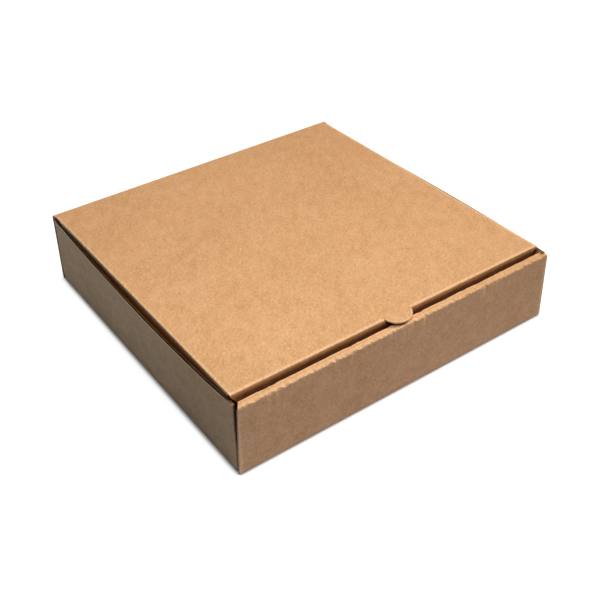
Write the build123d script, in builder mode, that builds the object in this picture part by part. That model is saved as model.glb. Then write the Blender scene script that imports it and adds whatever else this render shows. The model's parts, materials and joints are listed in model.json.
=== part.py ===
"""Square pizza box of corrugated board: a tray with a rolled front wall, and its hinged lid.

Millimetres, +Z up. The origin is the middle of the underside, the front wall faces -Y, and the lid
turns on the crease at the top of the back wall.
"""
import os

from build123d import *

# Board
board = 1.6  # thickness of the board
crease_inner_radius = 0.3  # inside rounding of a crease
crease_flat = 1.0  # straight board kept next to a crease

# Tray
box_width = 256.0  # outside, left to right
box_depth = 256.0  # outside, front to back
wall_height = 52.7  # top of the side walls and of the rolled front wall
end_lean = 1.8  # how far the ends of the walls lean in at the top
side_bulge = 1.5  # how far the middle of a side wall bows out at the top
inner_panel_inset = 4.4  # each end of the rolled-in panel, from the outside
inner_panel_clearance = 0.3  # under the rolled-in panel
roll_end_chamfer = 2.0  # cut across each end of the roll

# Corner flaps
ear_length = 45.0  # from the outside of the side wall
ear_taper = 8.0  # corner cut off each flap
ear_outer_slack = 0.8  # between a flap and the wall that it stands behind
ear_inner_slack = 0.2  # between a front flap and the rolled-in panel
ear_top_clearance = 0.5  # under the roll

# Lock tabs of the rolled-in panel, in slots of the base
lock_tab_width = 34.0
lock_tab_spacing = 140.0  # between the middles of the two tabs
lock_tab_recess = 0.4  # end of a tab, above the underside
slot_clearance = 0.5  # round a tab

# Lid
lid_rise = 3.2  # top of the lid above the walls
lid_side_inset = 2.8  # lid edge, from the outside of the tray
hinge_clearance = 0.3  # between the lid's rounded edge and the back wall
tuck_gap = 3.2  # between the roll and the tuck flap
tuck_depth = 34.0  # below the top of the lid
tuck_end_inset = 4.5  # ends of the tuck flap, from the lid edge
tuck_taper = 5.0  # narrowing of the tuck flap at each end
tuck_corner_radius = 8.0
tab_radius = 10.0  # thumb tab
tab_reach = 8.4  # of the thumb tab, in front of the lid
notch_clearance = 0.3  # round the hole that the thumb tab leaves
side_flap_depth = 26.0  # below the top of the lid
side_flap_end_inset = 30.0  # ends of a side flap, from the front and back of the tray
side_flap_taper = 18.0  # narrowing of a side flap at each end
side_flap_corner_radius = 6.0
lid_corner_radius = 1.5

# Places worked out from the sizes
half_width = box_width / 2
half_depth = box_depth / 2
fold_radius = board + crease_inner_radius
upright_start = fold_radius + crease_flat
roll_depth = 3 * board + ear_outer_slack + ear_inner_slack
roll_inner_y = -half_depth + roll_depth
inner_panel_half = half_width - inner_panel_inset
side_half_length = half_depth - board - ear_outer_slack
lid_height = wall_height + lid_rise
lid_underside = lid_height - board
lid_half = half_width - lid_side_inset
lid_front_y = roll_inner_y + tuck_gap
hinge_y = half_depth - board / 2
hinge_z = lid_height - board / 2
back_wall_top = lid_underside - hinge_clearance
tuck_half = lid_half - tuck_end_inset
side_flap_half_length = half_depth - side_flap_end_inset


def bent_board(plane, outer_points, side, reach):
    """Board bent round its creases: its outer face follows the points, its ends lie at +-reach."""
    with BuildPart() as strip:
        with BuildSketch(plane):
            with BuildLine():
                outer = FilletPolyline(*outer_points, radius=fold_radius)
                offset(outer, amount=board, side=side)
            make_face()
        extrude(amount=reach, both=True)
    return strip.part


def wall_end_x(z):
    """Outside of a leaning wall end at height z."""
    return half_width - end_lean * (z - upright_start) / (wall_height - upright_start)


# Side wall of the tray, with its crease strip and its two corner flaps
with BuildPart() as side_wall:
    crease_points = [
        (half_width - upright_start - board, 0),
        (half_width, 0),
        (half_width, upright_start),
    ]
    add(bent_board(Plane.XZ, crease_points, Side.LEFT, side_half_length))
    with BuildSketch(Plane.XY.offset(upright_start)) as wall_foot:
        with Locations((half_width - board / 2, 0)):
            Rectangle(board, 2 * side_half_length)
    with BuildSketch(Plane.XY.offset(wall_height)) as wall_top:
        with BuildLine():
            top_end = half_width - end_lean
            top_middle = half_width + side_bulge
            outside = ThreePointArc(
                (top_end, -side_half_length), (top_middle, 0), (top_end, side_half_length)
            )
            inside = ThreePointArc(
                (top_end - board, -side_half_length),
                (top_middle - board, 0),
                (top_end - board, side_half_length),
            )
            Line(outside @ 0, inside @ 0)
            Line(outside @ 1, inside @ 1)
        make_face()
    loft(sections=[wall_foot.sketch, wall_top.sketch], ruled=True)
    with BuildSketch(Plane.XZ.offset(side_half_length)):
        with BuildLine():
            ear_top = wall_height - board - ear_top_clearance
            ear_end = half_width - ear_length
            Polyline(
                (wall_end_x(upright_start), upright_start),
                (wall_end_x(ear_top), ear_top),
                (ear_end, ear_top),
                (ear_end, upright_start + ear_taper),
                (ear_end + ear_taper, upright_start),
                close=True,
            )
        make_face()
    front_ear = extrude(amount=-board)
    mirror(front_ear, about=Plane.XZ)

# Tray: base, back wall and rolled front wall, then the side walls
with BuildPart() as tray:
    with BuildSketch():
        Rectangle(box_width, box_depth - 2 * fold_radius)
    extrude(amount=board)
    back_points = [
        (half_depth, back_wall_top),
        (half_depth, 0),
        (half_depth - upright_start, 0),
    ]
    add(bent_board(Plane.YZ, back_points, Side.RIGHT, half_width))
    front_points = [
        (upright_start - half_depth, 0),
        (-half_depth, 0),
        (-half_depth, wall_height),
        (roll_inner_y, wall_height),
        (roll_inner_y, wall_height - upright_start),
    ]
    add(bent_board(Plane.YZ, front_points, Side.RIGHT, half_width))
    inner_panel_bottom = board + inner_panel_clearance
    with BuildSketch(Plane.XY.offset(inner_panel_bottom)):
        with Locations((0, roll_inner_y - board / 2)):
            Rectangle(2 * inner_panel_half, board)
    extrude(amount=wall_height - upright_start - inner_panel_bottom)

    # The ends of the front and back wall lean in
    with BuildSketch(Plane.XZ):
        with BuildLine():
            Polyline(
                (half_width, upright_start),
                (wall_end_x(lid_height), lid_height),
                (box_width, lid_height),
                (box_width, upright_start),
                close=True,
            )
        make_face()
        mirror(about=Plane.YZ)
    extrude(amount=box_depth, both=True, mode=Mode.SUBTRACT)

    # The base stops at the side creases
    with BuildSketch():
        with GridLocations(box_width - fold_radius, 0, 2, 1):
            Rectangle(fold_radius, box_depth - 2 * fold_radius)
    extrude(amount=upright_start, mode=Mode.SUBTRACT)

    # The rolled-in panel stands between the side walls
    with BuildSketch(Plane.XY.offset(upright_start)):
        with GridLocations(2 * half_width, 0, 2, 1):
            with Locations((0, roll_inner_y)):
                Rectangle(2 * inner_panel_inset, 2 * (roll_depth - board))
    extrude(amount=wall_height, mode=Mode.SUBTRACT)

    # Each end of the roll is cut across
    with BuildSketch(Plane.XY.offset(wall_height - fold_radius)):
        with BuildLine():
            roll_end = half_width - end_lean
            Polyline(
                (roll_end - roll_end_chamfer, -half_depth + roll_end_chamfer),
                (roll_end + end_lean, -half_depth - end_lean),
                (roll_end + end_lean, -half_depth + roll_end_chamfer),
                close=True,
            )
        make_face()
        mirror(about=Plane.YZ)
    extrude(amount=2 * fold_radius, mode=Mode.SUBTRACT)

    # Lock tabs of the rolled-in panel, and their slots
    lock_tab_y = roll_inner_y - board / 2
    with BuildSketch():
        with Locations((0, lock_tab_y)):
            with GridLocations(lock_tab_spacing, 0, 2, 1):
                Rectangle(lock_tab_width + 2 * slot_clearance, board + 2 * slot_clearance)
    extrude(amount=board, mode=Mode.SUBTRACT)
    with BuildSketch(Plane.XY.offset(lock_tab_recess)):
        with Locations((0, lock_tab_y)):
            with GridLocations(lock_tab_spacing, 0, 2, 1):
                Rectangle(lock_tab_width, board)
    extrude(amount=upright_start)

    add(side_wall.part)
    mirror(side_wall.part, about=Plane.YZ)

# Lid: panel with a rounded hinge edge, front tuck flap with the thumb tab's hole, and two side flaps
with BuildPart() as lid:
    with BuildSketch(Plane.XY.offset(lid_underside)) as panel:
        with Locations((0, (lid_front_y + hinge_y) / 2)):
            Rectangle(2 * lid_half, hinge_y - lid_front_y)
        fillet(panel.vertices().group_by(Axis.Y)[0], lid_corner_radius)
    extrude(amount=board)
    with BuildSketch(Plane.YZ):
        with Locations((hinge_y, hinge_z)):
            Circle(board / 2)
    extrude(amount=lid_half, both=True)

    # The panel stops where a flap's crease begins
    with BuildSketch(Plane.XY.offset(lid_underside)):
        with Locations((0, lid_front_y)):
            Rectangle(2 * tuck_half, 2 * fold_radius)
        with GridLocations(2 * lid_half, 0, 2, 1):
            Rectangle(2 * fold_radius, 2 * side_flap_half_length)
    extrude(amount=board, mode=Mode.SUBTRACT)

    # Front crease and tuck flap
    tuck_crease = [
        (lid_front_y, lid_height - upright_start),
        (lid_front_y, lid_height),
        (lid_front_y + upright_start, lid_height),
    ]
    add(bent_board(Plane.YZ, tuck_crease, Side.RIGHT, tuck_half))
    with BuildSketch(Plane.XZ.offset(-lid_front_y)) as tuck_flap:
        with BuildLine():
            tuck_top = lid_height - upright_start
            tuck_bottom = lid_height - tuck_depth
            Polyline(
                (-tuck_half, tuck_top),
                (tuck_half, tuck_top),
                (tuck_half - tuck_taper, tuck_bottom),
                (tuck_taper - tuck_half, tuck_bottom),
                close=True,
            )
        make_face()
        fillet(tuck_flap.vertices().group_by(Axis.Z)[0], tuck_corner_radius)
    extrude(amount=-board)

    # Thumb tab, and the hole that it leaves in the flap
    tab_centre = tab_radius - tab_reach
    with BuildSketch(Plane.XZ.offset(-lid_front_y)):
        with Locations((0, lid_height + tab_centre)):
            Circle(tab_radius + notch_clearance)
    extrude(amount=-upright_start, mode=Mode.SUBTRACT)
    with BuildSketch(Plane.XY.offset(lid_underside)):
        with Locations((0, lid_front_y + tab_centre)):
            Circle(tab_radius)
    extrude(amount=board)

    # Side creases and flaps
    side_crease = [
        (lid_half - upright_start, lid_height),
        (lid_half, lid_height),
        (lid_half, lid_height - upright_start),
    ]
    crease_part = bent_board(Plane.XZ, side_crease, Side.RIGHT, side_flap_half_length)
    add(crease_part)
    mirror(crease_part, about=Plane.YZ)
    with BuildSketch(Plane.YZ.offset(lid_half)) as side_flap:
        with BuildLine():
            flap_top = lid_height - upright_start
            flap_bottom = lid_height - side_flap_depth
            Polyline(
                (-side_flap_half_length, flap_top),
                (side_flap_half_length, flap_top),
                (side_flap_half_length - side_flap_taper, flap_bottom),
                (side_flap_taper - side_flap_half_length, flap_bottom),
                close=True,
            )
        make_face()
        fillet(side_flap.vertices().group_by(Axis.Z)[0], side_flap_corner_radius)
    flap_part = extrude(amount=-board)
    mirror(flap_part, about=Plane.YZ)

tray.part.label = "tray"
lid.part.label = "lid"

os.makedirs("parts", exist_ok=True)
export_step(tray.part, "parts/tray.step")
export_step(lid.part, "parts/lid.step")
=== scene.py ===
"""Closed pizza box of brown corrugated board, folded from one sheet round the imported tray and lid.

Metres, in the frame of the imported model: +Z up, the rolled front wall towards -Y.
"""
import json
import math
from collections import namedtuple

import bmesh
import bpy
from mathutils import Matrix, Vector, noise


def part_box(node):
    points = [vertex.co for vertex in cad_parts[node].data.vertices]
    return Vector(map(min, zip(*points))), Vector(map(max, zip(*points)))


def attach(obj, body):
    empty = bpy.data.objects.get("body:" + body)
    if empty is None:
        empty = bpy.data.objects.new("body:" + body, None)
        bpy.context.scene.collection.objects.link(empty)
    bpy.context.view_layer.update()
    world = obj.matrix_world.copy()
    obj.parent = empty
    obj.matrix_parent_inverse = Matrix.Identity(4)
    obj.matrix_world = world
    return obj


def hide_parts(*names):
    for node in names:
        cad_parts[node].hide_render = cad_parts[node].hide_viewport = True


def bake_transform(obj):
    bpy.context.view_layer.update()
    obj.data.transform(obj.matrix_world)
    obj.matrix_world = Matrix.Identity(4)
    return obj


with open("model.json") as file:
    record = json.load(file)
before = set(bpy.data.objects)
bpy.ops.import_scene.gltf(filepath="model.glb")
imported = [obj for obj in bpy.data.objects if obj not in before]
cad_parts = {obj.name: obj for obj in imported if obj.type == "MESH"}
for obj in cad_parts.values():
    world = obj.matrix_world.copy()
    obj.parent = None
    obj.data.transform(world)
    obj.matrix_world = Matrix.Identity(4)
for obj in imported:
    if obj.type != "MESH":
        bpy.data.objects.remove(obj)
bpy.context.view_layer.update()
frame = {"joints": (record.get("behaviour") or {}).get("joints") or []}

MM = 0.001
near = 0.05 * MM  # places closer than this count as one
smooth_angle = math.radians(35)  # edges that bend more than this stay sharp

# Board, and the gap between its liners along a cut edge
lid_low, lid_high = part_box("lid")
hinge = Vector(frame["joints"][0]["pos_m"])
lid_top = lid_high.z
board = 2 * (lid_top - hinge.z)
half_board = board / 2
liner = 0.22 * MM
gap_depth = 2.0 * MM
gap_change = 1.2 * MM
gap_patch = 24.0 * MM
hinge_gap = 0.8 * MM
shut_gap = 0.12 * MM

# Flutes that show in the cut edges
flute_pitch = 3.3 * MM
flute_rise = 0.45 * MM
flute_depth = 2.4 * MM
flute_inset = 0.2 * MM
flute_paper_thickness = 0.16 * MM
flute_end_clearance = 2.0 * MM
flute_steps = 10

# Tray: outside sizes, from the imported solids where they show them
half_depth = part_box("tray")[1].y
half_width = 128.0 * MM
wall_height = 52.7 * MM
end_lean = 1.8 * MM
ear_fold_zone = 1.1 * end_lean
front_lean_left = 2.8 * MM
front_lean_right = 1.4 * MM
front_wall_lean_right = 0.6 * MM
side_bulge = 1.5 * MM
bulge_skew = 0.8
left_sag = 1.8 * MM
left_sag_run = 18.0 * MM
corner_gap_top_left = 1.6 * MM
corner_gap_top_right = 0.0
corner_gap_foot = -0.6 * MM
corner_gap_width = 2.0 * MM
corner_gap_reach = 20.0 * MM
corner_gap_fade = 14.0 * MM
roll_depth = 5.8 * MM
inner_panel_left = 121.8 * MM
inner_panel_right = 125.7 * MM
inner_panel_bottom = 1.9 * MM
panel_end_width = 2.0 * MM
ear_slack = 0.8 * MM
ear_end = 83.0 * MM
ear_corner = 123.8 * MM
front_ear_top = 50.6 * MM
front_ear_run = 2.0 * MM
ear_bottom = 2.9 * MM
ear_foot_run = 3.0 * MM
ear_taper = 8.0 * MM
lock_tab_half = 17.0 * MM
lock_tab_x = 70.0 * MM
lock_tab_end = 0.4 * MM
slot_clearance = 0.5 * MM
slot_zone = -110.0 * MM

# Wear of the roll's two creases: how far it reaches, and its waves' lengths and depths
outer_wear = 2.2 * MM
inner_wear = 1.6 * MM
wear_end_margin = 2.0 * MM
wear_end_fade = 3.0 * MM
slow_wave = 8.5 * MM
quick_wave = 3.4 * MM
fine_wave = 1.5 * MM
outer_slow_depth = 1.2 * MM
outer_quick_depth = 1.5 * MM
outer_fine_depth = 0.9 * MM
inner_depth = 0.25 * MM
inner_slow_depth = 0.6 * MM
inner_quick_depth = 0.5 * MM

# Lid, with its tuck flap, thumb tab and side flaps
lid_half = lid_high.x
lid_front = -119.0 * MM
left_inset = 0.5 * MM
left_inset_start = -90.0 * MM
left_inset_fade = 20.0 * MM
tuck_end_gap = 0.2 * MM
tuck_top_half = lid_half - tuck_end_gap
tuck_half = 123.6 * MM
tuck_bottom = lid_low.z
tuck_taper = 7.9 * MM
tuck_corner = 8.0 * MM
tuck_relief = 6.0 * MM
tuck_relief_drop = 8.2 * MM
tuck_turn = math.radians(7)
tuck_end_zone = 60.0 * MM
tab_tip_inset = 0.3 * MM
tab_tip = lid_low.y + tab_tip_inset
tab_radius = 10.8 * MM
tab_centre_y = tab_tip + tab_radius
tab_root = math.sqrt(tab_radius**2 - (lid_front - tab_centre_y) ** 2)
tab_margin = 1.0 * MM
tab_below = 2.0 * MM
tab_droop = 0.7 * MM
tab_droop_power = 1.5
tab_crush = 0.6 * MM
tab_crush_width = 3.0 * MM
tab_crush_below = 3.0 * MM
notch_clearance = 0.3 * MM
notch_drop = 2.0 * MM
flap_half = 117.0 * MM
flap_drop = 26.0 * MM
flap_bottom = lid_top - flap_drop
flap_taper = 36.0 * MM
flap_corner = 6.0 * MM
flap_turn = math.radians(14)
flap_end_zone = 40.0 * MM

# Creases: radius at the middle of the board, and how sharp their outsides are pressed
crease_radius = 1.1 * MM
lid_fold = 0.9 * MM
ear_crease_radius = 1.0 * MM
hinge_fold = 1.3 * MM
outer_roll_sharpness = 7
inner_roll_sharpness = 5
base_sharpness = 2.6
lid_sharpness = 9
hinge_sharpness = 4

# Steps round a crease or a corner, grids of the sheets, and extra rows up the tray's walls
crease_steps = 6
hinge_steps = 8
corner_steps = 5
notch_steps = 12
tab_steps = 24
tray_columns, tray_rows = 384, 24
lid_columns, lid_rows = 128, 32
hinge_columns, hinge_rows = 128, 3
wall_rows = (6 * MM, 14 * MM, 27 * MM, 40 * MM)

# Where the strip over the hinge joins the back wall and the lid
hinge_strip_wall = 51.0 * MM
hinge_strip_lid = 122.0 * MM

# Middle surface of the board in each panel
base_z = half_board
side_x = half_width - half_board
front_y = -half_depth + half_board
back_y = half_depth - half_board
roll_z = wall_height - half_board
inner_y = -half_depth + roll_depth - half_board
ear_y = half_depth - board - ear_slack - half_board
lid_z = lid_top - half_board
lid_side_x = lid_half - half_board
tuck_y = lid_front + half_board

left, right = Vector((-1, 0, 0)), Vector((1, 0, 0))
front, back = Vector((0, -1, 0)), Vector((0, 1, 0))
down, up = Vector((0, 0, -1)), Vector((0, 0, 1))

# Order of a sheet's materials: the board's faces, its cut rim and the gap between its liners
face_slot, rim_slot, gap_slot = range(3)


# Modelling by hand: a grid is folded, cut and bevelled in edit mode
def start_sheet(name, low, high, z, columns, rows):
    """A flat grid from corner low to corner high at height z, open in edit mode."""
    bpy.ops.object.select_all(action="DESELECT")
    middle = ((low[0] + high[0]) / 2, (low[1] + high[1]) / 2, z)
    bpy.ops.mesh.primitive_grid_add(
        x_subdivisions=columns, y_subdivisions=rows, size=1, location=middle
    )
    sheet = bpy.context.active_object
    sheet.name = sheet.data.name = name
    sheet.scale = (high[0] - low[0], high[1] - low[1], 1)
    bpy.ops.object.transform_apply(location=True, rotation=True, scale=True)
    bpy.ops.object.mode_set(mode="EDIT")
    return sheet


def choose(kind, test):
    """Selects the edges or faces of the open mesh whose every corner passes the test."""
    bpy.ops.mesh.select_mode(type={"edges": "EDGE", "faces": "FACE"}[kind])
    bpy.ops.mesh.select_all(action="DESELECT")
    mesh = bpy.context.edit_object.data
    model = bmesh.from_edit_mesh(mesh)
    for item in getattr(model, kind):
        item.select_set(all(test(corner.co) for corner in item.verts))
    model.select_flush_mode()
    bmesh.update_edit_mesh(mesh)


def fold(test, *moves):
    """Pulls new panels out of the edges that pass the test, one for each move."""
    choose("edges", test)
    for move in moves:
        bpy.ops.mesh.extrude_region_move(TRANSFORM_OT_translate={"value": tuple(move)})


def bend(before, after, radius, steps=crease_steps):
    """Short moves round a crease, from one panel's direction to the next one's."""
    places = []
    for step in range(steps + 1):
        angle = math.pi / 2 * step / steps
        ahead = Vector(before) * radius * math.sin(angle)
        aside = Vector(after) * radius * (1 - math.cos(angle))
        places.append(ahead + aside)
    return [second - first for first, second in zip(places, places[1:])]


def cut(test, point, normal, drop=False):
    """Cuts the faces that pass the test along a plane.

    drop takes off the side that the normal points to.
    """
    choose("faces", test)
    bpy.ops.mesh.bisect(plane_co=point, plane_no=normal, clear_outer=drop)


def shape(move):
    """Moves every point of the open mesh to where move puts it."""
    mesh = bpy.context.edit_object.data
    model = bmesh.from_edit_mesh(mesh)
    for point in model.verts:
        point.co = move(point.co)
    bmesh.update_edit_mesh(mesh)


def round_crease(test, radius=crease_radius, steps=crease_steps):
    """Rounds the crease along the edges that pass the test."""
    choose("edges", test)
    bpy.ops.mesh.bevel(offset=radius, offset_type="OFFSET", segments=steps, affect="EDGES")


def at(value, place):
    return abs(value - place) < near


def clamp(value):
    return min(1.0, max(0.0, value))


def everywhere(point):
    return True


def round_corner(test, corner, first, second, radius, steps=corner_steps):
    """Cuts a corner of a flat panel round.

    first and second are unit vectors from the corner along its sides.
    """
    half = first.angle(second) / 2
    inward = (first + second).normalized()
    centre = corner + inward * radius / math.sin(half)
    turn = math.pi - 2 * half
    axis = first.cross(second).normalized()
    for step in range(1, steps + 1):
        angle = turn * (step / (steps + 1) - 0.5)
        normal = Matrix.Rotation(angle, 3, axis) @ -inward
        cut(test, centre + normal * radius, normal, drop=True)


def press(axis, first, second, radius, sharpness):
    """A move that draws the outside of a rounded crease out towards a sharp edge.

    axis is a point on the line that the crease bends round; first and second are the outward
    directions of the two panels.
    """
    axis = Vector(axis)

    def pressed(p):
        across, along = (p - axis).dot(first), (p - axis).dot(second)
        reach = math.hypot(across, along)
        if across <= 0 or along <= 0 or reach > radius + half_board + near:
            return p
        outer = clamp((reach - radius + half_board) / board)
        round_to_square = (across / reach) ** sharpness + (along / reach) ** sharpness
        grow = round_to_square ** (-1 / sharpness) - 1
        return p + (first * across + second * along) * grow * outer

    return pressed


def thicken(sheet, finishes, joined, groove, moves):
    """Gives the open sheet the board's thickness, with a gap between the liners at its cut edges.

    joined tells the points of edges that butt against the next piece; those stay plain. groove
    gives the depth of the gap at a point, and moves are the last shaping of the folds.
    """
    bpy.ops.mesh.select_all(action="SELECT")
    bpy.ops.mesh.normals_make_consistent(inside=False)
    bpy.ops.object.mode_set(mode="OBJECT")
    for finish in finishes:
        sheet.data.materials.append(finish)
    solid = sheet.modifiers.new("board", "SOLIDIFY")
    solid.thickness = board
    solid.offset = 0
    solid.use_even_offset = False
    solid.material_offset_rim = rim_slot
    bpy.ops.object.modifier_apply(modifier="board")

    # The rim is cut into liner, gap and liner
    bpy.ops.object.mode_set(mode="EDIT")
    bpy.ops.mesh.select_mode(type="EDGE")
    bpy.ops.mesh.select_all(action="DESELECT")
    model = bmesh.from_edit_mesh(sheet.data)

    def all_rim(item):
        return all(face.material_index == rim_slot for face in item.link_faces)

    for across in model.edges:
        across.select_set(all_rim(across))
    bmesh.update_edit_mesh(sheet.data)
    rim_cuts = 2
    bpy.ops.mesh.subdivide(number_cuts=rim_cuts)
    model = bmesh.from_edit_mesh(sheet.data)
    gap_points = [point for point in model.verts if all_rim(point)]
    for point in gap_points:
        beside = [side.other_vert(point) for side in point.link_edges]
        face_point = next(other for other in beside if not all_rim(other))
        point.co = face_point.co.lerp(point.co, (rim_cuts + 1) * liner / board)

    # The gap is pushed in between the liners
    bpy.ops.mesh.select_mode(type="FACE")
    bpy.ops.mesh.select_all(action="DESELECT")
    model = bmesh.from_edit_mesh(sheet.data)
    gap_points = {point for point in model.verts if all_rim(point)}
    for face in model.faces:
        butt = all(joined(corner.co) for corner in face.verts)
        face.select_set(gap_points.issuperset(face.verts) and not butt)
    for face in model.faces:
        plain = all(joined(corner.co) or groove(corner.co) <= shut_gap for corner in face.verts)
        if face.material_index == rim_slot and plain:
            face.material_index = face_slot
    bmesh.update_edit_mesh(sheet.data)
    bpy.ops.mesh.extrude_region_move(TRANSFORM_OT_translate={"value": (0, 0, 0)})
    model = bmesh.from_edit_mesh(sheet.data)
    gap = [face for face in model.faces if face.select]
    outward, depth = {}, {}
    for face in gap:
        for corner in face.verts:
            outward[corner] = outward.get(corner, Vector()) + face.normal
            depth[corner] = groove(corner.co)
    for corner, normal in outward.items():
        corner.co -= normal.normalized() * depth[corner]
    for face in gap:
        if min(depth[corner] for corner in face.verts) > shut_gap + near:
            face.material_index = gap_slot
            for side in face.edges:
                for beside in side.link_faces:
                    beside.material_index = gap_slot
    bmesh.update_edit_mesh(sheet.data)
    for move in moves:
        shape(move)
    bpy.ops.object.mode_set(mode="OBJECT")
    bpy.ops.object.shade_smooth_by_angle(angle=smooth_angle)


def open_gap(p):
    """Depth of the gap between the liners, uneven as the knife crosses the flutes."""
    return gap_depth + gap_change * noise.noise(p / gap_patch)


def tray_gap(p):
    """Pressed shut at the ends of the front and back panels, open elsewhere."""
    panel = p.y < inner_y + board or p.y > back_y - half_board - near
    at_end = panel and abs(p.x) > inner_panel_left - panel_end_width
    return shut_gap if at_end else open_gap(p)


def lid_gap(p):
    """Pressed shut round the thumb tab, open elsewhere."""
    beside_tab = abs(p.x) > tab_radius + tab_margin
    on_tab = not beside_tab and p.y < lid_front and p.z > lid_z - tab_below
    return shut_gap if on_tab else open_gap(p)


def shallow_gap(p):
    """The same depth all along the hinge strip."""
    return hinge_gap


def tray_sheet():
    """Base, walls, rolled front and corner flaps, folded out of one grid."""
    sheet = start_sheet(
        "tray_board", (-side_x, front_y), (side_x, back_y), base_z, tray_columns, tray_rows
    )

    # The outermost columns would lie inside the bend of the side folds
    last_column = side_x - 2 * side_x / tray_columns
    choose("edges", lambda p: at(abs(p.x), last_column))
    bpy.ops.mesh.dissolve_edges()
    for y in (-ear_y, ear_y):
        cut(everywhere, (0, y, 0), (0, 1, 0))

    # Walls
    for side in (-1, 1):
        fold(
            lambda p: at(p.x, side * side_x) and abs(p.y) < ear_y + near and at(p.z, base_z),
            (0, 0, wall_height - base_z),
        )
    fold(
        lambda p: at(p.y, front_y) and at(p.z, base_z),
        (0, 0, roll_z - base_z),
        (0, inner_y - front_y, 0),
        (0, 0, inner_panel_bottom - roll_z),
    )
    fold(lambda p: at(p.y, back_y) and at(p.z, base_z), (0, 0, hinge_strip_wall - base_z))

    # Ends of the side walls, cut back at top and foot, with the corner flaps between
    def on_wall(p):
        return at(abs(p.x), side_x) and abs(p.y) < ear_y + near

    front_drop = wall_height - front_ear_top
    cut(
        lambda p: on_wall(p) and p.x < 0,
        (0, -ear_y, wall_height - left_sag),
        (0, -left_sag, left_sag_run),
        drop=True,
    )
    cut(on_wall, (0, -ear_y, front_ear_top), (0, -front_drop, front_ear_run), drop=True)
    foot_rise = ear_bottom - base_z
    for end in (-1, 1):
        cut(on_wall, (0, end * ear_y, ear_bottom), (0, end * foot_rise, -ear_foot_run), drop=True)
        for side in (-1, 1):
            fold(
                lambda p: at(p.x, side * side_x) and at(p.y, end * ear_y) and p.z > base_z + near,
                (side * (ear_corner - side_x), 0, 0),
                (side * (ear_end - ear_corner), 0, 0),
            )
            cut(
                lambda p: at(p.y, end * ear_y) and p.z > base_z + near and p.x * side > 0,
                (side * ear_end, 0, ear_bottom + ear_taper),
                (-side, 0, -1),
                drop=True,
            )
    for height in wall_rows:
        cut(everywhere, (0, 0, height), (0, 0, 1))

    # Walls lean in at their ends, and the side walls bow out between them
    def lean(p):
        rise = max(0.0, (p.z - base_z) / (wall_height - base_z))
        if p.y < -ear_y - near or p.y > ear_y + near:
            front_lean = front_lean_left if p.x < 0 else front_lean_right
            end_half = half_width - (end_lean if p.y > 0 else front_lean) * rise
            return Vector((p.x * end_half / side_x, p.y, p.z))
        if at(p.y, inner_y) and p.z > inner_panel_bottom - near:
            inner_half = inner_panel_left if p.x < 0 else inner_panel_right
            return Vector((p.x * inner_half / side_x, p.y, p.z))
        if p.z > base_z + near:
            along = p.y / ear_y
            wall_lean = front_wall_lean_right if p.x > 0 > p.y else end_lean
            bow = side_bulge * (1 - along**2) * (1 - bulge_skew * along) - wall_lean * along**2
            return Vector((p.x + math.copysign(1, p.x) * bow * rise, p.y, p.z))
        return p

    shape(lean)

    # Lock tabs of the rolled-in panel, in slots of the base
    for side in (-1, 1):
        for edge in (-1, 1):
            slot_edge = side * lock_tab_x + edge * (lock_tab_half + slot_clearance)
            tab_edge = side * lock_tab_x + edge * lock_tab_half
            cut(lambda p: at(p.z, base_z) and p.y < slot_zone, (slot_edge, 0, 0), (1, 0, 0))
            cut(lambda p: at(p.y, inner_y) and p.z > base_z + near, (tab_edge, 0, 0), (1, 0, 0))
    slot_low = inner_y - half_board - slot_clearance
    slot_high = inner_y + half_board + slot_clearance
    for y in (slot_low, slot_high):
        cut(lambda p: at(p.z, base_z) and p.y < slot_zone, (0, y, 0), (0, 1, 0))

    def near_lock_tab(p, reach):
        return abs(abs(p.x) - lock_tab_x) < reach + near

    choose(
        "faces",
        lambda p: at(p.z, base_z)
        and slot_low - near < p.y < slot_high + near
        and near_lock_tab(p, lock_tab_half + slot_clearance),
    )
    bpy.ops.mesh.delete(type="FACE")
    fold(
        lambda p: at(p.y, inner_y)
        and at(p.z, inner_panel_bottom)
        and near_lock_tab(p, lock_tab_half),
        (0, 0, lock_tab_end - inner_panel_bottom),
    )

    # Creases
    round_crease(lambda p: at(abs(p.x), side_x) and abs(p.y) < ear_y and at(p.z, base_z))
    round_crease(lambda p: at(p.y, front_y) and at(p.z, base_z))
    round_crease(lambda p: at(p.y, back_y) and at(p.z, base_z))
    round_crease(lambda p: at(p.y, front_y) and at(p.z, roll_z))
    round_crease(lambda p: at(p.y, inner_y) and at(p.z, roll_z))
    round_crease(
        lambda p: at(abs(p.y), ear_y)
        and p.z > base_z + near
        and abs(p.x) > side_x - ear_fold_zone,
        ear_crease_radius,
    )

    # The front corners gape towards the top
    def gape(p):
        if p.y > 0 or p.z < base_z + near or abs(p.y) > ear_y + near or at(p.y, inner_y):
            return p
        rise = (p.z - base_z) / (wall_height - base_z)
        beside = clamp((abs(p.x) - ear_corner) / corner_gap_width)
        close = clamp((corner_gap_reach - ear_y - p.y) / corner_gap_fade)
        gap_top = corner_gap_top_left if p.x < 0 else corner_gap_top_right
        gap = corner_gap_foot + (gap_top - corner_gap_foot) * rise
        return p + back * gap * beside * close

    shape(gape)
    return sheet


def wave(p, length, *seed):
    """Uneven rise and fall along the width of the box."""
    return noise.noise(Vector((p.x / length, *seed)))


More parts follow.
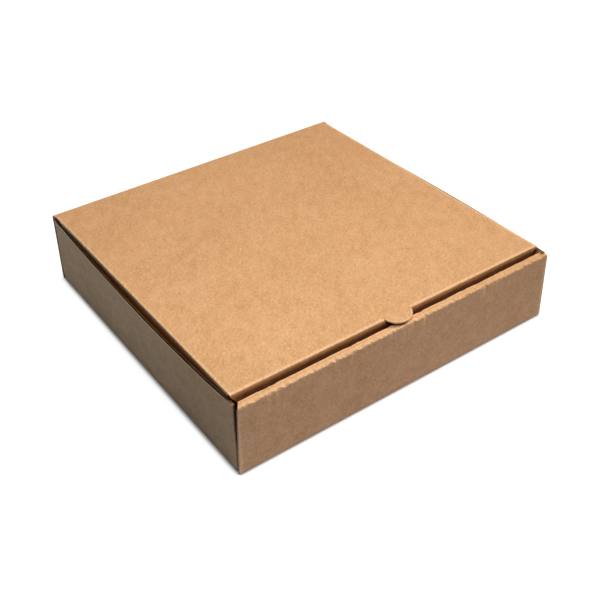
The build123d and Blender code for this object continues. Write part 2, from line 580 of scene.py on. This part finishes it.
def crush(p):
    """The roll's creases: the outer one torn back or pressed down, the inner one uneven."""
    outer = math.hypot(p.y + half_depth, p.z - wall_height) / outer_wear
    inner = math.hypot(p.y + half_depth - roll_depth, p.z - wall_height) / inner_wear
    hold = clamp(1 - min(outer, inner))
    hold *= clamp((half_width - wear_end_margin - abs(p.x)) / wear_end_fade)
    if not hold:
        return p
    slow = wave(p, slow_wave, 1.7, 0.3)
    quick = wave(p, quick_wave, 5.1, 0.9)
    fine = wave(p, fine_wave, 8.4, 2.2)
    if inner < outer:
        dip = inner_depth + inner_slow_depth * slow + inner_quick_depth * quick
        return p - up * dip * hold
    dent = outer_slow_depth * slow + outer_quick_depth * quick + outer_fine_depth * fine
    return p + (back if dent > 0 else up) * dent * hold


def lid_sheet():
    """Lid panel with thumb tab, tuck flap and side flaps, folded out of one grid."""
    panel_front = tuck_y + lid_fold
    panel_side = lid_side_x - lid_fold
    sheet = start_sheet(
        "lid_board",
        (-panel_side, panel_front),
        (panel_side, hinge_strip_lid),
        lid_z,
        lid_columns,
        lid_rows,
    )
    for side in (-1, 1):
        cut(everywhere, (side * tab_root, 0, 0), (1, 0, 0))
        cut(everywhere, (0, side * flap_half, 0), (0, 1, 0))
    for side in (-1, 1):
        fold(
            lambda p: at(p.x, side * panel_side) and abs(p.y) > flap_half - near,
            (side * (tuck_top_half - panel_side), 0, 0),
        )

    # Tuck flap, in one piece below the notch that the thumb tab leaves in it
    notch_row = lid_z - notch_drop
    fold(
        lambda p: at(p.y, panel_front) and tab_root - near < abs(p.x) < tuck_top_half + near,
        *bend(front, down, lid_fold),
        (0, 0, notch_row - lid_z + lid_fold),
        (0, 0, tuck_bottom - notch_row),
    )
    fold(
        lambda p: at(p.y, tuck_y) and at(p.x, -tab_root) and p.z < notch_row + near,
        *[(2 * tab_root / notch_steps, 0, 0)] * notch_steps,
    )
    bpy.ops.mesh.select_all(action="SELECT")
    bpy.ops.mesh.remove_doubles(threshold=near)
    notch_radius = tab_radius + notch_clearance
    notch_centre = lid_top + tab_centre_y - lid_front

    def open_notch(p):
        if at(p.y, tuck_y) and at(p.z, notch_row) and abs(p.x) < tab_root - near:
            return Vector((p.x, p.y, notch_centre - math.sqrt(notch_radius**2 - p.x**2)))
        return p

    shape(open_notch)

    # Side flaps
    for side in (-1, 1):
        fold(
            lambda p: at(p.x, side * panel_side) and abs(p.y) < flap_half + near,
            *bend((side, 0, 0), down, lid_fold),
            (0, 0, flap_bottom - lid_z + lid_fold),
        )

    # Tapered ends and rounded corners of the three flaps
    for side in (-1, 1):
        corner = Vector((side * (tuck_half - tuck_taper), tuck_y, tuck_bottom))
        shoulder = Vector((side * tuck_top_half, tuck_y, lid_z - lid_fold))
        relief = shoulder - Vector((side * tuck_relief, 0, tuck_relief_drop))

        def tuck_end(p):
            return at(p.y, tuck_y) and p.x * side > tuck_end_zone

        cut(tuck_end, relief, (0, 0, 1))
        for lower, upper in ((corner, relief), (relief, shoulder)):
            slant = (upper - lower).normalized()
            cut(
                lambda p: tuck_end(p) and lower.z - near < p.z < upper.z + near,
                lower,
                Vector((side * slant.z, 0, -side * slant.x)),
            )

        def beyond_end(p):
            lower, upper = (corner, relief) if p.z < relief.z else (relief, shoulder)
            end = lower.lerp(upper, (p.z - lower.z) / (upper.z - lower.z))
            return tuck_end(p) and p.z < shoulder.z + near and side * (p.x - end.x) > -near

        choose("faces", beyond_end)
        bpy.ops.mesh.delete(type="FACE")
        slant = (relief - corner).normalized()
        round_corner(tuck_end, corner, slant, Vector((-side, 0, 0)), tuck_corner)
        for end in (-1, 1):
            corner = Vector((side * lid_side_x, end * (flap_half - flap_taper), flap_bottom))
            shoulder = Vector((side * lid_side_x, end * flap_half, lid_z - lid_fold))
            slant = (shoulder - corner).normalized()
            outward = Vector((0, end * slant.z, -end * slant.y))

            def flap_end(p):
                return at(p.x, side * lid_side_x) and p.y * end > flap_end_zone

            cut(flap_end, corner, outward, drop=True)
            round_corner(flap_end, corner, slant, Vector((0, -end, 0)), flap_corner)

    # Thumb tab, cut round by planes that touch its circle
    fold(
        lambda p: at(p.y, panel_front) and at(p.z, lid_z) and abs(p.x) < tab_root + near,
        (0, tuck_y - panel_front, 0),
        (0, tab_tip - tuck_y, 0),
    )
    tab_centre = Vector((0, tab_centre_y, lid_z))
    for step in range(1, tab_steps):
        angle = math.pi * step / tab_steps
        outward = Vector((math.cos(angle), -math.sin(angle), 0))
        cut(
            lambda p: p.y < tuck_y + near and at(p.z, lid_z),
            tab_centre + outward * tab_radius,
            outward,
            drop=True,
        )

    # The flaps are folded a little past upright, and the thumb tab droops on to the roll
    def turn_in(p):
        drop = lid_z - lid_fold - p.z
        if drop > near and at(p.y, tuck_y):
            return Vector((p.x, p.y + drop * math.tan(tuck_turn), p.z))
        if drop > near:
            return Vector((p.x - math.copysign(drop * math.tan(flap_turn), p.x), p.y, p.z))
        if at(p.z, lid_z) and p.y < tuck_y and abs(p.x) < tab_radius + near:
            reach = (tuck_y - p.y) / (tuck_y - tab_tip)
            return Vector((p.x, p.y, p.z - tab_droop * reach**tab_droop_power))
        return p

    shape(turn_in)
    return sheet


def hinge_sheet():
    """Strip of board bent over the lid's hinge crease, from the top of the back wall to the lid."""
    lid_edge = tuck_top_half
    sheet = start_sheet(
        "hinge_crease",
        (-lid_edge, hinge_strip_lid),
        (lid_edge, back_y),
        lid_z,
        hinge_columns,
        hinge_rows,
    )
    fold(lambda p: at(p.y, back_y), (0, 0, hinge_strip_wall - lid_z))

    def widen(p):
        wall_half = half_width - end_lean * (p.z - base_z) / (wall_height - base_z)
        across = (p.y - hinge_strip_lid) / (back_y - hinge_strip_lid)
        return Vector((p.x * (1 + across * (wall_half / lid_edge - 1)), p.y, p.z))

    shape(widen)
    round_crease(lambda p: at(p.y, back_y) and at(p.z, lid_z), hinge_fold, hinge_steps)
    return sheet


def flute_ribbon(name, edge, along, inward, length, pitch):
    """The wavy paper between the liners, seen in a cut edge that crosses the flutes.

    One wave is modelled, and an array repeats it from edge, a point in the middle of the board.
    """
    ribbon = start_sheet(name, (0, 0), (pitch, flute_depth), 0, flute_steps, 1)
    shape(lambda p: Vector((p.x, p.y, flute_rise * math.sin(math.tau * p.x / pitch))))
    bpy.ops.object.mode_set(mode="OBJECT")
    waves = ribbon.modifiers.new("waves", "ARRAY")
    waves.count = round(length / pitch)
    waves.use_relative_offset = False
    waves.use_constant_offset = True
    waves.constant_offset_displace = (pitch, 0, 0)
    waves.use_merge_vertices = True
    waves.merge_threshold = near
    bpy.ops.object.modifier_apply(modifier="waves")
    paper = ribbon.modifiers.new("paper", "SOLIDIFY")
    paper.thickness = flute_paper_thickness
    paper.offset = 0
    bpy.ops.object.modifier_apply(modifier="paper")
    bpy.ops.object.mode_set(mode="EDIT")
    across = along.cross(inward)
    shape(lambda p: edge + along * p.x + inward * (p.y + flute_inset) + across * p.z)
    bpy.ops.object.mode_set(mode="OBJECT")
    ribbon.data.materials.append(flute_paper)
    bpy.ops.object.shade_smooth_by_angle(angle=smooth_angle)
    return ribbon


# Shader maths as plain expressions
class Value:
    """A shader socket that adds, multiplies and divides like a number."""

    def __init__(self, finish, socket):
        self.finish = finish
        self.socket = socket

    def math(self, operation, first, second):
        return self.finish.node("Math", {"operation": operation}, {0: first, 1: second})

    def __add__(self, other):
        return self.math("ADD", self, other)

    def __radd__(self, other):
        return self.math("ADD", other, self)

    def __sub__(self, other):
        return self.math("SUBTRACT", self, other)

    def __rsub__(self, other):
        return self.math("SUBTRACT", other, self)

    def __mul__(self, other):
        return self.math("MULTIPLY", self, other)

    def __rmul__(self, other):
        return self.math("MULTIPLY", other, self)

    def __truediv__(self, other):
        return self.math("DIVIDE", self, other)

    def __rtruediv__(self, other):
        return self.math("DIVIDE", other, self)

    def __pow__(self, other):
        return self.math("POWER", self, other)

    def __abs__(self):
        return self.math("ABSOLUTE", self, 0)


class Finish:
    """The nodes of a material, or of the room round the box, with one method that adds any node."""

    def __init__(self, owner):
        owner.use_nodes = True
        self.owner = owner
        self.tree = owner.node_tree
        self.shader = self.tree.nodes.get("Principled BSDF")

    def put(self, socket, value):
        if isinstance(value, Value):
            self.tree.links.new(value.socket, socket)
        else:
            socket.default_value = value

    def node(self, kind, settings, sockets, output=0):
        made = self.tree.nodes.new("ShaderNode" + kind)
        for name, value in settings.items():
            setattr(made, name, value)
        for name, value in sockets.items():
            self.put(made.inputs[name], value)
        return Value(self, made.outputs[output])

    def mix(self, factor, first, second, blend="MIX"):
        """Mixes two colours; factor runs from 0, all first, to 1, all second."""
        settings = {"data_type": "RGBA", "blend_type": blend}
        return self.node("Mix", settings, {0: factor, 6: first, 7: second}, 2)

    def step(self, value, start, end):
        """Runs smoothly from 0 at start to 1 at end."""
        settings = {"interpolation_type": "SMOOTHSTEP"}
        sockets = {"Value": value, "From Min": start, "From Max": end}
        return self.node("MapRange", settings, sockets)

    def seen(self):
        """1 for what the camera sees, straight, in a mirror or through glass, or else 0."""
        straight = self.node("LightPath", {}, {}, "Is Camera Ray")
        mirrored = self.node("LightPath", {}, {}, "Is Glossy Ray")
        through = self.node("LightPath", {}, {}, "Is Transmission Ray")
        either = straight.math("MAXIMUM", straight, mirrored)
        return either.math("MAXIMUM", either, through)


# Paper: two browns of the liner, the colour of its worn places and painted highlights, and the
# colour of its painted shade
kraft_red = (0.711, 0.393, 0.178, 1)
kraft_yellow = (0.703, 0.405, 0.187, 1)
wear_and_highlight_colour = (0.90, 0.60, 0.31, 1)
painted_shade_colour = (0.10, 0.045, 0.015, 1)
liner_roughness = 0.86
torn_roughness = 0.95
paper_specular = 0.05
relief_strength = 0.5
full_mark = 0.3  # share of a crease mark's width that is marked in full
least_wear_and_highlight = 0.5  # wear and painted highlight left in the hollows of the grain

# A line along the third axis where two others have the given places, in millimetres. An axis in
# capitals is taken on both sides of the box, and a strength below 0 is painted shade. grows has an
# axis along which the mark grows from none to full between two places.
Crease = namedtuple(
    "Crease", "first first_at second second_at width strength grows", defaults=(None,)
)


def kraft_finish(name, creases):
    """Brown liner: pulp clouds, short fibres, faint flutes, and creases with wear, painted
    highlights or painted shade.
    """
    finish = Finish(bpy.data.materials.new(name))
    place = finish.node("TexCoord", {}, {}, "Object")
    place = finish.node("VectorMath", {"operation": "SCALE"}, {0: place, "Scale": 1 / MM})
    axes = {}
    for index, axis in enumerate("xyz"):
        axes[axis] = finish.node("SeparateXYZ", {}, {0: place}, index)
        axes[axis.upper()] = abs(axes[axis])
    axes["tab"] = (axes["x"] ** 2 + (axes["y"] - tab_centre_y / MM) ** 2) ** 0.5

    def pulp(size, detail, length=1.0, turn=0.0, shift=(0, 0, 0)):
        placing = {"Scale": (length, 1, 1), "Rotation": (0, 0, turn), "Location": shift}
        where = finish.node("Mapping", {"vector_type": "TEXTURE"}, {"Vector": place, **placing})
        sockets = {"Vector": where, "Scale": 1 / size, "Detail": detail, "Roughness": 0.6}
        return finish.node("TexNoise", {}, sockets, "Fac")

    cloud = pulp(55, 2)
    mottle = pulp(7, 3, length=1.6, turn=0.97)
    grain = pulp(1.6, 4, length=1.4, turn=0.97)
    warm = pulp(17, 2, shift=(40, 7, 3))
    strand = {"size": 0.55, "detail": 2, "length": 3.5}
    fibre = pulp(**strand, turn=0.6) + pulp(**strand, turn=1.4, shift=(9, 3, 5))
    speck = finish.step(pulp(0.9, 1, shift=(3, 60, 20)), 0.70, 0.78)
    pale_fibre = finish.step(fibre, 1.16, 1.34)
    dark_fibre = finish.step(fibre, 0.86, 0.68)

    middle = 0.5  # of a noise
    cloud_depth, mottle_depth, grain_depth = 0.20, 0.38, 0.74
    pale_depth, dark_depth, speck_depth = 0.15, 0.16, 0.24
    red_depth, green_depth, blue_depth = 0.85, 1.1, 1.5
    brown = finish.mix(finish.step(warm, 0.3, 0.7), kraft_red, kraft_yellow)
    shade = (cloud - middle) * cloud_depth + (mottle - middle) * mottle_depth
    shade = shade + (grain - middle) * grain_depth
    shade = shade + pale_fibre * pale_depth - dark_fibre * dark_depth - speck * speck_depth
    tint = {0: 1 + shade * red_depth, 1: 1 + shade * green_depth, 2: 1 + shade * blue_depth}
    shade_colour = finish.node("CombineColor", {}, tint)
    colour = finish.mix(1.0, brown, shade_colour, "MULTIPLY")

    wear_and_highlight = painted_shade = 0.0
    for crease in creases:
        first_off = axes[crease.first] - crease.first_at
        second_off = axes[crease.second] - crease.second_at
        across = (first_off**2 + second_off**2) ** 0.5
        mark = finish.step(across, crease.width, crease.width * full_mark)
        mark = mark * abs(crease.strength)
        if crease.grows:
            axis, none_at, full_at = crease.grows
            mark = mark * finish.step(axes[axis], none_at, full_at)
        if crease.strength > 0:
            wear_and_highlight = mark + wear_and_highlight
        else:
            painted_shade = mark + painted_shade
    wear_and_highlight_grain = finish.step(grain, 0.35, 0.65) * (1 - least_wear_and_highlight) + least_wear_and_highlight
    # Wear, and painted highlights along the lid's edges and the front corners: marks above 0 make
    # the paper paler
    colour = finish.mix(wear_and_highlight * wear_and_highlight_grain, colour, wear_and_highlight_colour)
    # Painted shade: marks with a strength below 0 darken the paper in creases where shade falls
    colour = finish.mix(painted_shade, colour, painted_shade_colour)

    finish.put(finish.shader.inputs["Base Color"], colour)
    finish.put(finish.shader.inputs["Roughness"], liner_roughness + (grain - middle) * 0.2)
    finish.put(finish.shader.inputs["Specular IOR Level"], paper_specular)

    # Relief: fibres, and faint flutes, which lie level on the side walls
    facing = finish.node("TexCoord", {}, {}, "Normal")
    sideways = finish.step(abs(finish.node("SeparateXYZ", {}, {0: facing}, 0)), 0.5, 0.8)
    flute_turn = math.tau * MM / flute_pitch
    ridge_x = finish.node("Math", {"operation": "SINE"}, {0: axes["x"] * flute_turn})
    ridge_z = finish.node("Math", {"operation": "SINE"}, {0: axes["z"] * flute_turn})
    ridge = ridge_x * (1 - sideways) + ridge_z * sideways
    grain_height, fibre_height, ridge_height = 0.03, 0.025, 0.008
    height = grain * grain_height + fibre * fibre_height + ridge * ridge_height
    sockets = {"Strength": relief_strength, "Distance": MM, "Height": height}
    relief = finish.node("Bump", {}, sockets)
    finish.put(finish.shader.inputs["Normal"], relief)
    return finish.owner


def raw_finish(name, pale, dark, size):
    """Torn paper of a cut edge: fibres of that size in mm, between a pale and a dark brown."""
    finish = Finish(bpy.data.materials.new(name))
    place = finish.node("TexCoord", {}, {}, "Object")
    sockets = {"Vector": place, "Scale": 1 / (size * MM), "Detail": 4, "Roughness": 0.65}
    grain = finish.node("TexNoise", {}, sockets, "Fac")
    colour = finish.mix(finish.step(grain, 0.3, 0.7), (*dark, 1), (*pale, 1))
    finish.put(finish.shader.inputs["Base Color"], colour)
    finish.put(finish.shader.inputs["Roughness"], torn_roughness)
    finish.put(finish.shader.inputs["Specular IOR Level"], paper_specular)
    sockets = {"Strength": relief_strength, "Distance": MM, "Height": grain * 0.1}
    relief = finish.node("Bump", {}, sockets)
    finish.put(finish.shader.inputs["Normal"], relief)
    return finish.owner


wall_mm = wall_height / MM
top_mm = lid_top / MM
tray_kraft = kraft_finish(
    "tray_kraft",
    [
        # Folds of the base
        Crease("X", 128.0, "z", 0.0, 2.2, 0.20),
        Crease("Y", 128.0, "z", 0.0, 2.2, 0.20),
        # Outer and inner crease of the roll, paler towards the left
        Crease("y", -127.0, "z", wall_mm, 2.6, 0.60, ("x", 150, -60)),
        Crease("y", -122.6, "z", wall_mm, 1.8, 0.75, ("x", 170, 20)),
        # Front corners, worn and with a painted highlight down their edges, and back corners, worn
        Crease("X", 126.6, "y", -128.0, 2.4, 0.70),
        Crease("X", 127.0, "y", 128.0, 1.7, 0.30),
        # Top of the walls behind the roll
        Crease("z", wall_mm - 0.3, "z", wall_mm - 0.3, 1.5, 0.65, ("y", -119, -112)),
        # Painted shade in the front corners, on the corner flaps deep in the gap behind the front
        # wall
        Crease("X", 124.8, "y", -124.4, 2.1, -1.0, ("z", -3, 8)),
    ],
)
lid_kraft = kraft_finish(
    "lid_kraft",
    [
        # Front fold beside the thumb tab, side folds, and the tab's rim: wear with painted
        # highlights along the edges
        Crease("y", -118.0, "z", top_mm + 0.5, 2.0, 0.90, ("X", 10.3, 12.0)),
        Crease("X", 124.2, "z", top_mm + 0.5, 2.0, 0.60),
        Crease("tab", tab_radius / MM, "z", top_mm - 0.4, 1.6, 0.80, ("y", -118.5, -120.5)),
    ],
)
hinge_kraft = kraft_finish("hinge_kraft", [Crease("y", 127.4, "z", top_mm - 0.6, 2.6, 0.30)])
cut_liner = raw_finish("cut_liner", (0.80, 0.55, 0.33), (0.62, 0.38, 0.20), 0.8)
# Cut edge of the tray's walls: the torn paper of cut_liner in darker browns, painted shade on the
# walls' tops
painted_shade_wall_edge = raw_finish("painted_shade_wall_edge", (0.44, 0.27, 0.14), (0.28, 0.16, 0.08), 0.8)
# Inside of the gap between the liners: browns darker than the flute paper, painted shade in the
# recess
painted_shade_flute_gap = raw_finish("painted_shade_flute_gap", (0.34, 0.20, 0.10), (0.22, 0.12, 0.06), 1.2)
flute_paper = raw_finish("flute_paper", (0.66, 0.42, 0.23), (0.48, 0.29, 0.15), 1.0)


def only(test, move):
    """A move of the points that pass the test alone."""
    return lambda p: move(p) if test(p) else p


def off_tab(p):
    return abs(p.x) > tab_root + near


def on_side_fold(p):
    return abs(p.y) < flap_half + near


def press_base(direction, reach):
    """Presses the fold between the base and the wall that stands at reach in a direction."""
    axis = direction * (reach - crease_radius) + up * (base_z + crease_radius)
    return press(axis, direction, down, crease_radius, base_sharpness)


def press_lid_side(direction):
    """Presses the fold of the lid's side flap in a direction."""
    axis = direction * (lid_side_x - lid_fold) + up * (lid_z - lid_fold)
    return only(on_side_fold, press(axis, direction, up, lid_fold, lid_sharpness))


def trim_left(p):
    """The lid's left edge, folded a little further in than the right one, up to the hinge."""
    inset = clamp((left_inset_start - p.x) / left_inset_fade)
    return p + right * left_inset * inset * clamp((hinge_strip_lid - p.y) / left_inset_fade)


def thin_tab(p):
    """The thumb tab's rim, crushed from below by the die that cut it."""
    reach = math.hypot(p.x, p.y - tab_centre_y)
    beyond = abs(p.x) > tab_radius or reach > tab_radius + tab_margin
    if beyond or p.y > lid_front or p.z < lid_z - tab_crush_below:
        return p
    rim = clamp(1 - (tab_radius - reach) / tab_crush_width)
    return p + up * tab_crush * rim * clamp((lid_top - p.z) / board)


tray = tray_sheet()
thicken(
    tray,
    [tray_kraft, painted_shade_wall_edge, painted_shade_flute_gap],
    lambda p: at(p.z, hinge_strip_wall) and p.y > back_y - board,
    tray_gap,
    [
        press(
            (0, front_y + crease_radius, roll_z - crease_radius),
            front,
            up,
            crease_radius,
            outer_roll_sharpness,
        ),
        press(
            (0, inner_y - crease_radius, roll_z - crease_radius),
            back,
            up,
            crease_radius,
            inner_roll_sharpness,
        ),
        press_base(front, -front_y),
        press_base(back, back_y),
        press_base(left, side_x),
        press_base(right, side_x),
        crush,
    ],
)
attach(tray, "tray")
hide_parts("tray")

lid = lid_sheet()
thicken(
    lid,
    [lid_kraft, cut_liner, painted_shade_flute_gap],
    lambda p: at(p.y, hinge_strip_lid),
    lid_gap,
    [
        only(
            off_tab,
            press((0, tuck_y + lid_fold, lid_z - lid_fold), front, up, lid_fold, lid_sharpness),
        ),
        press_lid_side(left),
        press_lid_side(right),
        thin_tab,
        trim_left,
    ],
)
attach(lid, "lid")
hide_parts("lid")

strip = hinge_sheet()
thicken(
    strip,
    [hinge_kraft, cut_liner, painted_shade_flute_gap],
    lambda p: at(p.y, hinge_strip_lid) or at(p.z, hinge_strip_wall),
    shallow_gap,
    [press((0, back_y - hinge_fold, lid_z - hinge_fold), back, up, hinge_fold, hinge_sharpness)],
)
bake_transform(strip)

# Flutes: down the tuck flap, along the side flaps and along the corner flaps
tuck_drop = lid_z - lid_fold - tuck_bottom
tuck_low = Vector((0, tuck_y + tuck_drop * math.tan(tuck_turn), tuck_bottom))
tuck_up = Vector((0, -math.sin(tuck_turn), math.cos(tuck_turn)))
tuck_run = 2 * (tuck_half - tuck_taper - tuck_corner)
tuck_start = tuck_low + left * tuck_run / 2
tuck_flutes = flute_ribbon("tuck_flutes", tuck_start, right, tuck_up, tuck_run, flute_pitch)
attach(tuck_flutes, "lid")
for side, side_name in ((-1, "left"), (1, "right")):
    for end, end_name in ((-1, "front"), (1, "back")):
        lower = Vector((side * lid_side_x, end * (flap_half - flap_taper), flap_bottom))
        upper = Vector((side * lid_side_x, end * flap_half, lid_z - lid_fold))
        lower.x -= side * (upper.z - lower.z) * math.tan(flap_turn)
        along = (upper - lower).normalized()
        inward = Vector((0, -end, 0))
        inward = (inward - along * inward.dot(along)).normalized()
        slant_pitch = flute_pitch / along.z
        slant_run = (upper - lower).length - flap_corner - flute_end_clearance
        flap_flutes = flute_ribbon(
            f"flap_flutes_{side_name}_{end_name}",
            lower + along * flap_corner,
            along,
            inward,
            slant_run,
            slant_pitch,
        )
        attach(flap_flutes, "lid")
    ear_low = Vector((side * ear_end, ear_y, ear_bottom + ear_taper))
    ear_run = wall_height - ear_low.z - flute_end_clearance
    ear_flutes = flute_ribbon(
        f"ear_flutes_{side_name}", ear_low, up, right * side, ear_run, flute_pitch
    )
    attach(ear_flutes, "tray")

# Stage: pale floor that the camera sees as white, with the box's shadow on it and a painted contact
# shadow at the box's foot
bpy.ops.object.select_all(action="DESELECT")
floor_size = 6.0
floor_white = 0.94
painted_shadow_level = 0.15
painted_shadow_reach = 4 * MM
floor_bounce = (0.50, 0.63, 0.92, 1)
floor_colour = (0.40, 0.38, 0.355, 1)
bpy.ops.mesh.primitive_plane_add(size=floor_size, location=(0, 0, -near))
floor = bpy.context.active_object
floor.name = "floor"
floor_finish = Finish(bpy.data.materials.new("floor"))
floor_seen = floor_finish.seen()
floor_finish.put(
    floor_finish.shader.inputs["Base Color"],
    floor_finish.mix(floor_seen, floor_bounce, floor_colour),
)
floor_finish.put(floor_finish.shader.inputs["Roughness"], 1.0)
floor_finish.put(floor_finish.shader.inputs["Specular IOR Level"], 0.0)
floor_finish.put(floor_finish.shader.inputs["Emission Strength"], 1.0)
# Painted contact shadow: near the box, ambient occlusion darkens the white that the camera sees
nearness = floor_finish.node("AmbientOcclusion", {"samples": 8}, {"Distance": painted_shadow_reach}, "AO")
outside_painted_shadow = floor_finish.step(nearness, 0.4, 0.95)
floor_finish.put(
    floor_finish.shader.inputs["Emission Color"],
    floor_seen * (painted_shadow_level + outside_painted_shadow * (floor_white - painted_shadow_level)),
)
floor.data.materials.append(floor_finish.owner)


# Light: a warm lamp from the right, a small one overhead, weak ones in front and at the left,
# and a dim room
def soft_lamp(name, place, target, size, energy, colour):
    bpy.ops.object.light_add(type="AREA", location=place)
    lamp = bpy.context.active_object
    lamp.name = lamp.data.name = name
    lamp.data.size = size
    lamp.data.energy = energy
    lamp.data.color = colour
    lamp.rotation_euler = (Vector(target) - Vector(place)).to_track_quat("-Z", "Y").to_euler()


soft_lamp(
    "lamp_right",
    place=(3.05, -0.4, 2.54),
    target=(0, 0, 0),
    size=0.8,
    energy=148.1,
    colour=(1.0, 0.903, 0.862),
)
soft_lamp(
    "lamp_overhead",
    place=(-0.06, -0.14, 0.50),
    target=(-0.06, -0.13, 0),
    size=0.12,
    energy=1.07,
    colour=(0.907, 0.909, 1.0),
)
soft_lamp(
    "lamp_front",
    place=(0.02, -0.8, 0.12),
    target=(0, 0, 0.03),
    size=0.3,
    energy=0.54,
    colour=(1.0, 0.711, 0.494),
)
soft_lamp(
    "lamp_left",
    place=(-0.60, 0.70, 0.12),
    target=(0, 0, 0.03),
    size=0.3,
    energy=1.82,
    colour=(0.517, 0.724, 1.0),
)
room_strength = 0.045
room_colour = (0.333, 0.667, 1.0)
room = Finish(bpy.data.worlds.new("studio"))
bpy.context.scene.world = room.owner
room_light = room.node("Background", {}, {"Color": (*room_colour, 1), "Strength": room_strength})
room_white = room.node("Background", {}, {"Color": (1, 1, 1, 1), "Strength": 1.0})
room_shown = room.node("MixShader", {}, {0: room.seen(), 1: room_light, 2: room_white})
room.put(room.tree.nodes["World Output"].inputs["Surface"], room_shown)

# Camera, solved from the box's edges in the photograph
camera_data = bpy.data.cameras.new("camera")
camera_data.sensor_width = 36.0
camera_data.lens = 54.612
camera_data.clip_start = 0.01
camera = bpy.data.objects.new("camera", camera_data)
bpy.context.scene.collection.objects.link(camera)
camera_right = Vector((0.81332, -0.58121, -0.02645))
camera_down = Vector((-0.36711, -0.47739, -0.79833))
camera_ahead = Vector((0.45137, 0.65901, -0.60164))
camera_place = Vector((-0.305, -0.45573, 0.40817))
turn = Matrix((camera_right, -camera_down, -camera_ahead)).transposed().to_4x4()
camera.matrix_world = Matrix.Translation(camera_place) @ turn
bpy.context.scene.camera = camera
bpy.context.scene.view_settings.view_transform = "Standard"
